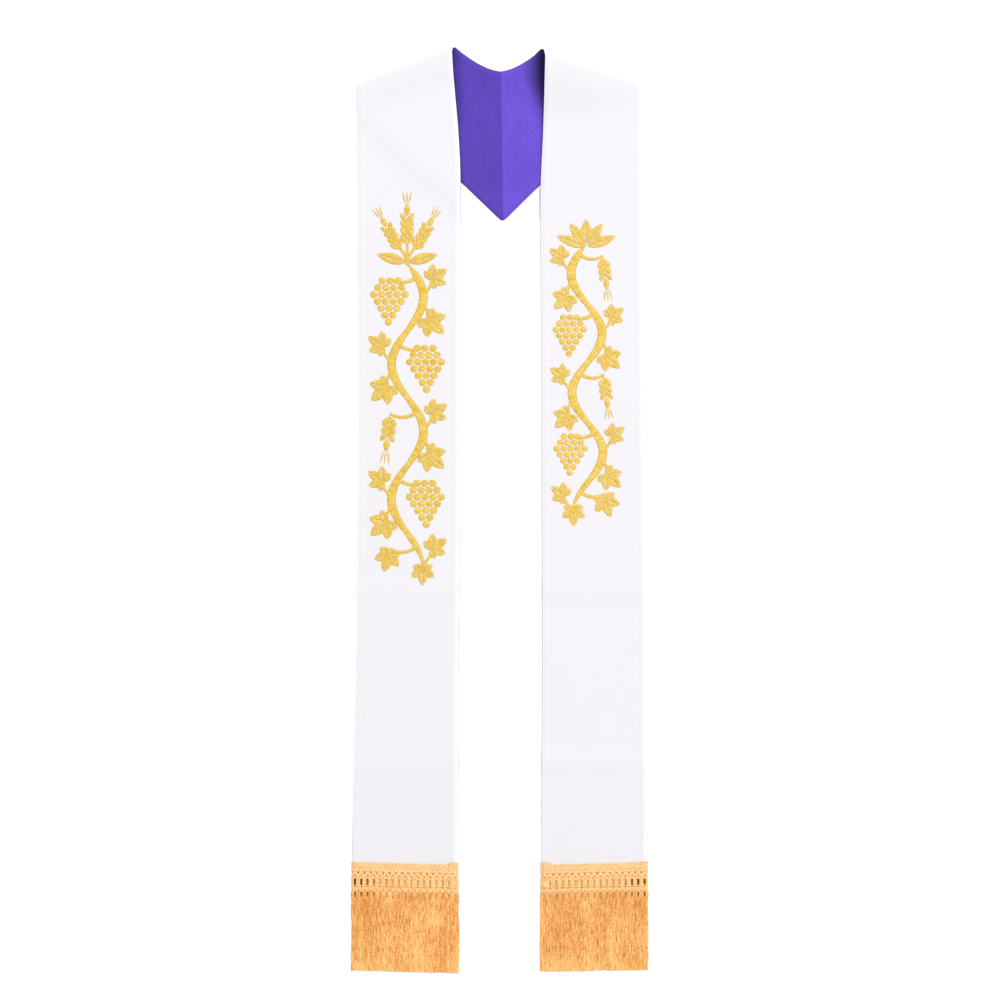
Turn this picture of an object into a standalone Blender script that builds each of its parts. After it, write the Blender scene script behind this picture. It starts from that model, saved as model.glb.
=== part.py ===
"""Clerical stole, reversible, laid out flat with its two fronts uppermost.

Metres, +Z up, +Y towards the neck, +X towards the wearer's left front as it lies here.
Each half is one long strip, a white face over a purple lining. From the hem it runs up the front,
rolls over at the shoulder and lies under the front as half of the back yoke. The halves meet at the
centre back seam. A braid and a fringe are sewn over each hem.
The origin is on the surface that the stole lies on, under the middle of its outline.
"""

import math
from collections import namedtuple

import bmesh
import bpy
from mathutils import Vector

MM = 0.001
CLOSE_ENOUGH = 0.01 * MM

# Cloth
CLOTH = 1.0 * MM
SEAM_GAP = 0.3 * MM
BAND = 2 * CLOTH + SEAM_GAP
MIDDLE = BAND / 2

# Lengths along Y, measured up from the tips of the fringe
OVERALL_LENGTH = 1276.2 * MM
STRAND_LENGTH = 105 * MM
ROOT_STRIP_HEIGHT = 5.7 * MM
BRAID_HEIGHT = 39.5 * MM
HEM_AT = STRAND_LENGTH + 3 * MM
BRAID_AT = STRAND_LENGTH + ROOT_STRIP_HEIGHT + SEAM_GAP

# Width of each front: distance of its inner and outer edge from the middle line, in millimetres, by height
Edge = namedtuple("Edge", "height left_inner left_outer right_inner right_outer")
EDGES = (
    Edge(height=108, left_inner=57.8, left_outer=204.4, right_inner=56.4, right_outer=203.8),
    Edge(height=300, left_inner=57.9, left_outer=201.8, right_inner=57.8, right_outer=202.8),
    Edge(height=450, left_inner=57.3, left_outer=198.6, right_inner=58.4, right_outer=202.6),
    Edge(height=650, left_inner=55.4, left_outer=196.2, right_inner=57.8, right_outer=201.0),
    Edge(height=860, left_inner=54.8, left_outer=196.2, right_inner=57.0, right_outer=198.8),
    Edge(height=1065, left_inner=54.4, left_outer=198.0, right_inner=55.4, right_outer=197.8),
    Edge(height=1110, left_inner=54.7, left_outer=198.4, right_inner=56.8, right_outer=197.8),
    Edge(height=1160, left_inner=57.3, left_outer=198.8, right_inner=59.2, right_outer=197.8),
    Edge(height=1205, left_inner=61.2, left_outer=199.0, right_inner=60.5, right_outer=197.9),
    Edge(height=1240, left_inner=64.2, left_outer=198.8, right_inner=61.3, right_outer=198.0),
    Edge(height=1272, left_inner=66.2, left_outer=198.6, right_inner=62.2, right_outer=198.0),
)

# How each half lies, in millimetres: its corner at the neck, the height of the shoulder's outer corner, the
# radius that the cloth rolls open to inside the shoulder fold at each, how far the roll carries the front
# outwards over the back at the neck, how far from the fold the front comes down onto the yoke, and how far
# the yoke's outer edge bows out. The right front stands up more at the neck.
HALF_COLUMNS = "name sign neck shoulder_height neck_roll shoulder_roll slide neck_run shoulder_run yoke_bow"
Half = namedtuple("Half", HALF_COLUMNS)
HALVES = (
    Half(
        "left", -1, (63.7, 1276.2), 1224,
        neck_roll=3.8, shoulder_roll=2.0, slide=9.7, neck_run=55, shoulder_run=42, yoke_bow=2.8,
    ),
    Half(
        "right", 1, (58.4, 1273.2), 1226,
        neck_roll=8.5, shoulder_roll=2.0, slide=15, neck_run=92, shoulder_run=42, yoke_bow=1.2,
    ),
)

# Back yoke: where the centre seam starts at the neck and ends in the point
SEAM_TOP = Vector((0.5 * MM, 1243 * MM))
SEAM_POINT = Vector((3.5 * MM, 1036 * MM))
POINT_ROUNDING = 2 * MM
NECK_CURVE_POWER = 1.6

# The front lies on the yoke, and comes down to the floor past the yoke's outer edge
LAYER_STEP = BAND + SEAM_GAP
STEP_START = 14 * MM
STEP_RUN = 34 * MM

# Shallow creases across the fronts, left by storing the stole folded, in millimetres
Crease = namedtuple("Crease", "height rise run")
CREASES = (
    Crease(height=296, rise=1.3, run=24),
    Crease(height=526, rise=0.8, run=22),
)

# Mesh divisions of a strip
COLUMNS = 6
FOLD_STEPS = 8
BACK_STEPS = 7
NEAR_SHOULDER = 300 * MM
NEAR_STEP = 15 * MM
FAR_STEP = 92 * MM

# Braid over the hem: ridges and bands across it, by height above its lower edge, in millimetres
BraidRow = namedtuple("BraidRow", "height thickness")
BRAID_ROWS = (
    BraidRow(height=0.0, thickness=1.4),
    BraidRow(height=1.4, thickness=2.1),
    BraidRow(height=4.2, thickness=1.8),
    BraidRow(height=7.0, thickness=2.1),
    BraidRow(height=8.6, thickness=1.5),
    BraidRow(height=16.4, thickness=1.5),
    BraidRow(height=18.2, thickness=2.2),
    BraidRow(height=20.0, thickness=1.6),
    BraidRow(height=24.0, thickness=1.9),
    BraidRow(height=28.2, thickness=1.5),
    BraidRow(height=29.6, thickness=1.3),
    BraidRow(height=38.0, thickness=1.3),
    BraidRow(height=39.5, thickness=1.8),
)
SLOT_ROW = 4
BRAID_BARS = 17
FIRST_SLOT = 1
SLOT_PLACE = 0.47
SLOT_SHARE = 0.36
SLOT_DEPTH = 0.9 * MM
SLOT_SLOPE = 0.35 * MM

# Fringe: strands that leave the braid in one group for each bar
STRANDS_PER_BAR = 7
STRAND_FILL = 0.79
STRAND_THICKNESS = 1.4 * MM
FRINGE_FLARE = 1.2 * MM
SWAY = 0.8 * MM
SWAY_LENGTH = 44 * MM
LAYER_LIFT = 0.8 * MM
FLOOR_CLEARANCE = 0.45 * MM

# Strand sections below the root: how far down the strand, as a share of its length, and how thick it is
# there against its root. The first one has already come down to the floor.
StrandSection = namedtuple("StrandSection", "share thickness")
STRAND_SECTIONS = (
    StrandSection(share=0.14, thickness=1.1),
    StrandSection(share=0.55, thickness=1.15),
    StrandSection(share=1.0, thickness=0.9),
)
FULLEST = max(section.thickness for section in STRAND_SECTIONS)

WHITE = (0.87, 0.86, 0.89)
PURPLE = (0.145, 0.082, 0.60)
BRAID_GOLD = (0.86, 0.50, 0.20)
FRINGE_GOLD = (0.82, 0.41, 0.13)


def row_y(height):
    """The Y of a height above the fringe's tips."""
    return height - OVERALL_LENGTH / 2


def smooth(share):
    """0 to 1 with level ends."""
    share = min(max(share, 0.0), 1.0)
    return share * share * (3 - 2 * share)


def edge_x(half, side, height):
    """Distance of a front's inner or outer edge from the middle line, on a smooth curve through EDGES."""
    heights = [edge.height * MM for edge in EDGES]
    values = [getattr(edge, f"{half.name}_{side}") * MM for edge in EDGES]
    last = len(EDGES) - 1
    index = max(i for i in range(last) if i == 0 or heights[i] <= height)
    run = heights[index + 1] - heights[index]
    share = (height - heights[index]) / run

    def slope(i):
        low, high = max(i - 1, 0), min(i + 1, last)
        return (values[high] - values[low]) / (heights[high] - heights[low])

    start, end = values[index], values[index + 1]
    into, out = slope(index) * run, slope(index + 1) * run
    square, cube = share**2, share**3
    return (
        (2 * cube - 3 * square + 1) * start
        + (cube - 2 * square + share) * into
        + (3 * square - 2 * cube) * end
        + (cube - square) * out
    )


class Strip:
    """The middle surface of one half, in plan coordinates that run outwards from the middle line.

    across is 0 at the inner edge and 1 at the outer edge. A station is a pair, the stretch of the strip
    and how far along that stretch it lies.
    """

    def __init__(self, half):
        self.half = half
        neck = Vector(half.neck) * MM
        shoulder_height = half.shoulder_height * MM
        shoulder = Vector((edge_x(half, "outer", shoulder_height), shoulder_height))
        self.along = (shoulder - neck).normalized()
        self.outwards = Vector((-self.along.y, self.along.x))
        self.neck_radius = half.neck_roll * MM + MIDDLE
        self.shoulder_radius = half.shoulder_roll * MM + MIDDLE
        self.shoulder = shoulder - self.outwards * (self.shoulder_radius + MIDDLE)
        slide = self.along * half.slide * MM
        under_neck = neck - self.outwards * (self.neck_radius + MIDDLE)
        self.front_neck = under_neck + slide / 2
        self.back_neck = under_neck - slide / 2
        fold = (self.shoulder - self.front_neck).normalized()
        self.down = Vector((fold.y, -fold.x))
        seam_half = Vector((SEAM_GAP / 2, 0))
        self.seam_top = Vector((half.sign * SEAM_TOP.x, SEAM_TOP.y)) + seam_half
        self.seam_point = Vector((half.sign * SEAM_POINT.x, SEAM_POINT.y)) + seam_half

    def radius(self, across):
        return self.neck_radius + (self.shoulder_radius - self.neck_radius) * across

    def front_edge(self, side, fold_end, share):
        """A front's edge from the hem up to where its fold starts."""
        height = HEM_AT + (fold_end.y - HEM_AT) * share
        inset = (fold_end.x - edge_x(self.half, side, fold_end.y)) * share
        return Vector((edge_x(self.half, side, height) + inset, height))

    def neck_curve(self, share):
        x = self.back_neck.x + (self.seam_top.x - self.back_neck.x) * share
        fall = (1 - share) ** NECK_CURVE_POWER
        return Vector((x, self.seam_top.y + (self.back_neck.y - self.seam_top.y) * fall))

    def outer_curve(self, share):
        """From the shoulder to the yoke's point, nearly straight but for the rounded point."""

        def rounded(x):
            return math.hypot(x - self.seam_point.x, POINT_ROUNDING) - POINT_ROUNDING

        slope = (self.shoulder.y - self.seam_point.y) / rounded(self.shoulder.x)
        x = self.shoulder.x + (self.seam_point.x - self.shoulder.x) * share
        bow = self.half.yoke_bow * MM * 4 * share * (1 - share)
        return Vector((x, self.seam_point.y + slope * rounded(x) + bow))

    def past_yoke(self, plan):
        """How far a plan point lies outside the yoke's outer edge, negative over the yoke."""
        edge = (self.seam_point - self.shoulder).normalized()
        offset = plan - self.shoulder
        return offset.y * edge.x - offset.x * edge.y

    def lift(self, across, plan):
        """How far a front's middle surface lies above where it would lie on the floor."""
        from_fold = max((plan - self.front_neck).dot(self.down), 0.0)
        rolled = 2 * self.radius(across)
        run = (self.half.neck_run + (self.half.shoulder_run - self.half.neck_run) * across) * MM
        over = LAYER_STEP + (rolled - LAYER_STEP) * (1 - smooth(from_fold / run))
        over *= 1 - smooth((self.past_yoke(plan) - STEP_START) / STEP_RUN)
        for crease in CREASES:
            off = abs(plan.y - crease.height * MM) / (crease.run * MM)
            over += crease.rise * MM * (1 - smooth(off))
        return over

    def point(self, across, station):
        stretch, share = station
        if stretch == "front":
            inner = self.front_edge("inner", self.front_neck, share)
            outer = self.front_edge("outer", self.shoulder, share)
            plan = inner.lerp(outer, across)
            rise = self.lift(across, plan)
        elif stretch == "fold":
            radius, turn = self.radius(across), math.pi * share
            neck = self.front_neck.lerp(self.back_neck, share)
            plan = neck.lerp(self.shoulder, across) + self.outwards * radius * math.sin(turn)
            rise = radius + radius * math.cos(turn)
        else:
            plan = self.neck_curve(share).lerp(self.outer_curve(share), across)
            rise = 0.0
        return Vector((self.half.sign * plan.x, row_y(plan.y), MIDDLE + rise))

    def stations(self):
        """From the hem to the centre back seam, close together where the strip bends."""
        length = self.front_neck.y - HEM_AT
        near = [i * NEAR_STEP for i in range(1, round(NEAR_SHOULDER / NEAR_STEP) + 1)]
        far_count = round((length - NEAR_SHOULDER) / FAR_STEP)
        far = [NEAR_SHOULDER + (length - NEAR_SHOULDER) * i / far_count for i in range(1, far_count)]
        creased = [
            length - (crease.height + crease.run * share) * MM + HEM_AT
            for crease in CREASES
            for share in (-1, -0.5, 0, 0.5, 1)
        ]
        clear = FAR_STEP / 3
        kept = [down for down in far if all(abs(down - other) > clear for other in creased)]
        down = sorted([0, length, *near, *kept, *creased], reverse=True)
        front = [("front", 1 - distance / length) for distance in down]
        fold = [("fold", i / FOLD_STEPS) for i in range(1, FOLD_STEPS + 1)]
        back = [("back", i / BACK_STEPS) for i in range(1, BACK_STEPS + 1)]
        return front + fold + back


def colour_material(name, colour, roughness):
    material = bpy.data.materials.new(name)
    material.use_nodes = True
    shader = material.node_tree.nodes["Principled BSDF"]
    shader.inputs["Base Color"].default_value = (*colour, 1)
    shader.inputs["Roughness"].default_value = roughness
    shader.inputs["Metallic"].default_value = 0
    return material


def add_object(name, bm, material):
    mesh = bpy.data.meshes.new(name)
    bm.to_mesh(mesh)
    bm.free()
    mesh.materials.append(material)
    mesh.shade_smooth()
    mesh.set_sharp_from_angle(angle=math.radians(40))
    placed = bpy.data.objects.new(name, mesh)
    bpy.context.scene.collection.objects.link(placed)
    return placed


def make_layer(strip, name, outward, material):
    """One layer of a strip, the white face where outward is 1 and the lining where it is -1."""
    stations = strip.stations()
    bm = bmesh.new()
    bmesh.ops.create_grid(bm, x_segments=COLUMNS, y_segments=len(stations) - 1, size=0.5)
    for vertex in bm.verts:
        across = vertex.co.x + 0.5
        station = stations[round((vertex.co.y + 0.5) * (len(stations) - 1))]
        vertex.co = strip.point(across, station)
    if strip.half.sign < 0:
        bmesh.ops.reverse_faces(bm, faces=bm.faces)
    bm.normal_update()
    for vertex in bm.verts:
        vertex.co += vertex.normal * outward * SEAM_GAP / 2
    layer = add_object(name, bm, material)
    wall = layer.modifiers.new("Wall", "SOLIDIFY")
    wall.thickness = CLOTH
    wall.offset = outward
    wall.use_even_offset = True
    return layer


def hem_x(half, share):
    """X across a hem, from the inner edge at 0 to the outer edge at 1."""
    inner, outer = edge_x(half, "inner", HEM_AT), edge_x(half, "outer", HEM_AT)
    return half.sign * (inner + (outer - inner) * share)


def make_braid(half, material):
    """The braid, a flat strip with ridges across it and a row of slots pressed into it between its bars."""
    breaks = [0.0]
    for bar in range(FIRST_SLOT, BRAID_BARS):
        breaks.append((bar + SLOT_PLACE - SLOT_SHARE / 2) / BRAID_BARS)
        breaks.append((bar + SLOT_PLACE + SLOT_SHARE / 2) / BRAID_BARS)
    breaks.append(1.0)
    bm = bmesh.new()
    bmesh.ops.create_grid(bm, x_segments=len(breaks) - 1, y_segments=len(BRAID_ROWS) - 1, size=0.5)
    underside = BAND + SEAM_GAP
    slots = []
    for face in bm.faces:
        centre = face.calc_center_median()
        column = math.floor((centre.x + 0.5) * (len(breaks) - 1))
        row = math.floor((centre.y + 0.5) * (len(BRAID_ROWS) - 1))
        if column % 2 == 1 and row == SLOT_ROW:
            slots.append(face)
    for vertex in bm.verts:
        row = BRAID_ROWS[round((vertex.co.y + 0.5) * (len(BRAID_ROWS) - 1))]
        x = hem_x(half, breaks[round((vertex.co.x + 0.5) * (len(breaks) - 1))])
        vertex.co = Vector((x, row_y(BRAID_AT + row.height * MM), underside + row.thickness * MM))
    if half.sign < 0:
        bmesh.ops.reverse_faces(bm, faces=bm.faces)
    bmesh.ops.inset_individual(bm, faces=slots, thickness=SLOT_SLOPE, depth=-SLOT_DEPTH)
    rim = [edge for edge in bm.edges if edge.is_boundary]
    walls = bmesh.ops.extrude_edge_only(bm, edges=rim)
    lower = [item for item in walls["geom"] if isinstance(item, bmesh.types.BMVert)]
    for vertex in lower:
        vertex.co.z = underside
    bottom_rim = [edge for edge in bm.edges if edge.is_boundary]
    bmesh.ops.contextual_create(bm, geom=bottom_rim)
    bmesh.ops.recalc_face_normals(bm, faces=bm.faces)
    return add_object(f"braid_{half.name}", bm, material)


def strand_shift(x, down):
    """Sideways sway of the fringe, a smooth wave that neighbouring strands share."""
    grown = smooth(down / SWAY_LENGTH)
    wave = math.sin(2 * math.pi * (down / SWAY_LENGTH + x / (2.4 * SWAY_LENGTH)))
    return SWAY * grown * wave


def make_fringe(half, material):
    """The fringe: a narrow strip under the braid's lower edge, with every strand drawn out of its edge."""
    count = BRAID_BARS * STRANDS_PER_BAR
    underside = BAND + SEAM_GAP
    bm = bmesh.new()
    lower_row = []
    for strand in range(count):
        for side in (-1, 1):
            share = (strand + 0.5 + side * STRAND_FILL / 2) / count
            lower_row.append((hem_x(half, share), row_y(STRAND_LENGTH)))
    top = row_y(STRAND_LENGTH + ROOT_STRIP_HEIGHT)
    outline = [(hem_x(half, 0), row_y(STRAND_LENGTH)), *lower_row]
    outline += [(hem_x(half, 1), row_y(STRAND_LENGTH)), (hem_x(half, 1), top), (hem_x(half, 0), top)]
    base = bm.faces.new([bm.verts.new((x, y, underside)) for x, y in outline])
    grown = bmesh.ops.extrude_face_region(bm, geom=[base])
    for item in grown["geom"]:
        if isinstance(item, bmesh.types.BMVert):
            item.co.z += STRAND_THICKNESS
    bmesh.ops.recalc_face_normals(bm, faces=bm.faces)

    root_width = abs(hem_x(half, 1) - hem_x(half, 0)) / count * STRAND_FILL
    roots = [face for face in bm.faces if is_root(face, root_width)]
    roots.sort(key=lambda face: abs(face.calc_center_median().x))
    for number, root in enumerate(roots):
        draw_strand(bm, half, root, number, count)
    return add_object(f"fringe_{half.name}", bm, material)


def is_root(face, width):
    """Whether a face is one of those in the strip's lower edge that a strand is drawn out of."""
    lower_edge = row_y(STRAND_LENGTH)
    in_edge = all(abs(vertex.co.y - lower_edge) < CLOSE_ENOUGH for vertex in face.verts)
    return in_edge and abs(face.calc_area() / STRAND_THICKNESS - width) < CLOSE_ENOUGH


def draw_strand(bm, half, root, number, count):
    """Draws one strand out of its root face, section by section, down to the floor and along it."""
    start = root.calc_center_median()
    flare = FRINGE_FLARE * (2 * (number + 0.5) / count - 1)
    lift = LAYER_LIFT * (number % 2)
    rest_z = FLOOR_CLEARANCE + FULLEST * STRAND_THICKNESS / 2 + lift
    corners = [vertex.co - start for vertex in root.verts]
    face = root
    for section in STRAND_SECTIONS:
        drawn = bmesh.ops.extrude_discrete_faces(bm, faces=[face])
        face = drawn["faces"][0]
        down = section.share * STRAND_LENGTH
        x = start.x + half.sign * flare * section.share + strand_shift(start.x, down)
        middle = Vector((x, start.y - down, rest_z))
        for vertex, corner in zip(face.verts, corners):
            vertex.co = middle + Vector((corner.x, 0, corner.z * section.thickness))


def main():
    for old in list(bpy.data.objects):
        bpy.data.objects.remove(old)
    white = colour_material("white_face", WHITE, roughness=0.55)
    purple = colour_material("purple_lining", PURPLE, roughness=0.5)
    braid_gold = colour_material("gold_braid", BRAID_GOLD, roughness=0.45)
    fringe_gold = colour_material("gold_fringe", FRINGE_GOLD, roughness=0.4)
    for half in HALVES:
        strip = Strip(half)
        make_layer(strip, f"face_{half.name}", outward=1, material=white)
        make_layer(strip, f"lining_{half.name}", outward=-1, material=purple)
        make_braid(half, braid_gold)
        make_fringe(half, fringe_gold)


main()
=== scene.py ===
"""Clerical stole laid out flat: its cloth, embroidery, braid and fringe, on a plain pale floor.

Metres, +Z up, +Y towards the neck. A height is measured along Y from the tips of the fringe.
"""

import math
import random
from collections import namedtuple

import bmesh
import bpy
from bpy.props import FloatProperty, FloatVectorProperty, IntProperty, PointerProperty
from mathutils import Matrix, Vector, noise


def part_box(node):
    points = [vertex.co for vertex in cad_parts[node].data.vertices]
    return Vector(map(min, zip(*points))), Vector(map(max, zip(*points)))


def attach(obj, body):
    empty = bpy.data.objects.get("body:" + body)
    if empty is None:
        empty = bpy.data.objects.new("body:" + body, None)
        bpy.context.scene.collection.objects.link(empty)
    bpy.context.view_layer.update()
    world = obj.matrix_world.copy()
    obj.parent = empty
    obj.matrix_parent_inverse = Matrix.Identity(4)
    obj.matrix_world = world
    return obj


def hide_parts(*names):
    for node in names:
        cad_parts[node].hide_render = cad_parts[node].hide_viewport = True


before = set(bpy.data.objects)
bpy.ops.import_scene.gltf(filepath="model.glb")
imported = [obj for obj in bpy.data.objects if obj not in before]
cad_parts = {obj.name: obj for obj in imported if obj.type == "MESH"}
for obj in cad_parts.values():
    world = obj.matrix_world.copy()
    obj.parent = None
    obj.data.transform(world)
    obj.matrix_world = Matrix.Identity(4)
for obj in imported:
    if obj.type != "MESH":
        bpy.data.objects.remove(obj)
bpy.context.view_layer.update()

bl_info = {
    "name": "Clerical Stole",
    "version": (1, 0, 0),
    "blender": (4, 5, 0),
    "location": "3D View > Sidebar > Stole",
    "description": "Models a white and purple clerical stole with gold embroidery, braid and fringe",
    "category": "Object",
}

MM = 0.001
BODY = "root"

# Cloth: the two layers of the band and the space between them
BAND = 2.3 * MM
MIDDLE = BAND / 2
SEAM_GAP = 0.3 * MM
SEAM_JOIN = 0.06 * MM

# Heights that the frame gives
TIPS_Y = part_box("fringe_left")[0].y
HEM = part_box("face_left")[0].y - TIPS_Y
ROOT_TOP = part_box("fringe_left")[1].y - TIPS_Y
BRAID_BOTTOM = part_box("braid_left")[0].y - TIPS_Y
BRAID_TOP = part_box("braid_left")[1].y - TIPS_Y
BRAID_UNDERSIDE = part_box("braid_left")[0].z

# Width of each front: distance of its inner and outer edge from the middle line, in millimetres, by height
Edge = namedtuple("Edge", "height left_inner left_outer right_inner right_outer")
EDGES = tuple(
    Edge(*row) for row in (
        (108, 57.8, 204.4, 56.4, 203.8),
        (300, 57.9, 201.8, 57.8, 202.8),
        (450, 57.3, 198.6, 58.4, 202.6),
        (650, 55.4, 196.2, 57.8, 201.0),
        (860, 54.8, 196.2, 57.0, 198.8),
        (1065, 54.4, 198.0, 55.4, 197.8),
        (1110, 54.7, 198.4, 56.8, 197.8),
        (1160, 57.3, 198.8, 59.2, 197.8),
        (1205, 61.2, 199.0, 60.5, 197.9),
        (1240, 64.2, 198.8, 61.3, 198.0),
        (1272, 66.2, 198.6, 62.2, 198.0),
    )
)

# How each half lies, in millimetres: its corner at the neck, the height of the shoulder's outer corner, the
# radius that the cloth rolls open to inside the shoulder fold at each, how far the roll carries the front
# outwards over the back at the neck, how far from the fold the front comes down onto the yoke, and how far
# the yoke's outer edge bows out. The right front stands up more at the neck.
HALF_COLUMNS = "name sign neck shoulder_height neck_roll shoulder_roll slide neck_run shoulder_run yoke_bow"
Half = namedtuple("Half", HALF_COLUMNS)
HALVES = (
    Half(
        "left", -1, (63.7, 1276.2), 1224,
        neck_roll=3.8, shoulder_roll=2.0, slide=9.7, neck_run=55, shoulder_run=42, yoke_bow=2.8,
    ),
    Half(
        "right", 1, (58.4, 1273.2), 1226,
        neck_roll=8.5, shoulder_roll=2.0, slide=15, neck_run=92, shoulder_run=42, yoke_bow=1.2,
    ),
)

# Back yoke: where the centre seam starts at the neck and ends in the point
SEAM_TOP = Vector((0.5 * MM, 1243 * MM))
SEAM_POINT = Vector((3.5 * MM, 1036 * MM))
POINT_ROUNDING = 2 * MM
NECK_CURVE_POWER = 1.6

# The front lies on the yoke, and comes down to the floor past the yoke's outer edge
LAYER_STEP = BAND + SEAM_GAP
STEP_START = 14 * MM
STEP_RUN = 34 * MM

# Shallow creases across the fronts, left by storing the stole folded, in millimetres
Crease = namedtuple("Crease", "height rise run")
CREASES = (
    Crease(height=289, rise=1.1, run=24),
    Crease(height=526, rise=0.8, run=22),
)

# Ripples: how many lie in a metre, how far from the braid and from the fold they reach their full height, and
# how far apart in the noise the two halves lie, so that they differ
RIPPLES_ACROSS, RIPPLES_ALONG = 11, 7
RIPPLE_RUN_UP, RIPPLE_RUN_DOWN = 90 * MM, 60 * MM
HALVES_APART = 3.7

# Cloth mesh: columns this far in from each edge, and rows this far apart, in millimetres
EDGE_COLUMNS = (0, 0.2, 0.5, 1.0, 1.8, 3.2, 5.2, 7.2, 8.8, 10.4, 12.5)
INNER_COLUMNS = 12
COLUMNS = 2 * (len(EDGE_COLUMNS) - 1) + INNER_COLUMNS
RowRun = namedtuple("RowRun", "to step")
ROW_RUNS = (RowRun(to=110, step=4), RowRun(to=330, step=6.5), RowRun(to=1200, step=8))
FOLD_ROWS = 24
BACK_ROWS = 30
SEAM_ROWS = (0.2, 0.5, 1.0, 1.8)

# A layer's outer side: how far from the middle it lies at the band's edges, how far it is pressed to one side
# there, and how steeply it rounds; how deeply and widely the back seam draws it in; the run over which it
# falls from the turning to the single cloth; and how thick its mesh is
EDGE_OFFSET = 0.12 * MM
EDGE_PRESS = 0.85 * MM
EDGE_POWER = 1.6
SEAM_DEPTH = 0.35 * MM
SEAM_RUN = 1.5 * MM
ALLOWANCE_RUN = 1.6 * MM
WALL = 0.35 * MM

# How far up from its hem the white cloth is a little greyer, and how far beyond the yoke's centre seam an
# edge is taken to lie, so that the lining's seam line takes part of its edges' painted shade
HEM_TONE_REACH = 190 * MM
SEAM_TONE_AT = 0.75 * MM

# Painted shade on the lining beside each front, for the shadow under its raised inner edge: from which height
# up to which, in millimetres, it darkens most, and how widely and deeply it does there. Further down it has
# the low width and depth.
PaintedShade = namedtuple("PaintedShade", "low high width depth")
PAINTED_SHADES = {
    "left": PaintedShade(low=1130, high=1225, width=15, depth=0.45),
    "right": PaintedShade(low=1163, high=1240, width=38, depth=0.88),
}
PAINTED_SHADE_LOW_WIDTH, PAINTED_SHADE_LOW_DEPTH = 3, 0.35

BRAID_BARS = 17


def smooth(share):
    """0 to 1 with level ends."""
    share = min(max(share, 0.0), 1.0)
    return share * share * (3 - 2 * share)


def edge_x(half, side, height):
    """Distance of a front's inner or outer edge from the middle line, on a smooth curve through EDGES."""
    heights = [edge.height * MM for edge in EDGES]
    values = [getattr(edge, f"{half.name}_{side}") * MM for edge in EDGES]
    last = len(EDGES) - 1
    index = max(i for i in range(last) if i == 0 or heights[i] <= height)
    run = heights[index + 1] - heights[index]
    share = (height - heights[index]) / run

    def slope(i):
        low, high = max(i - 1, 0), min(i + 1, last)
        return (values[high] - values[low]) / (heights[high] - heights[low])

    start, end = values[index], values[index + 1]
    into, out = slope(index) * run, slope(index + 1) * run
    square, cube = share**2, share**3
    return (
        (2 * cube - 3 * square + 1) * start
        + (cube - 2 * square + share) * into
        + (3 * square - 2 * cube) * end
        + (cube - square) * out
    )


def edge_distance(across, width):
    """How far in from the nearer edge a place across the band lies."""
    return min(across, 1 - across) * width


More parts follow.
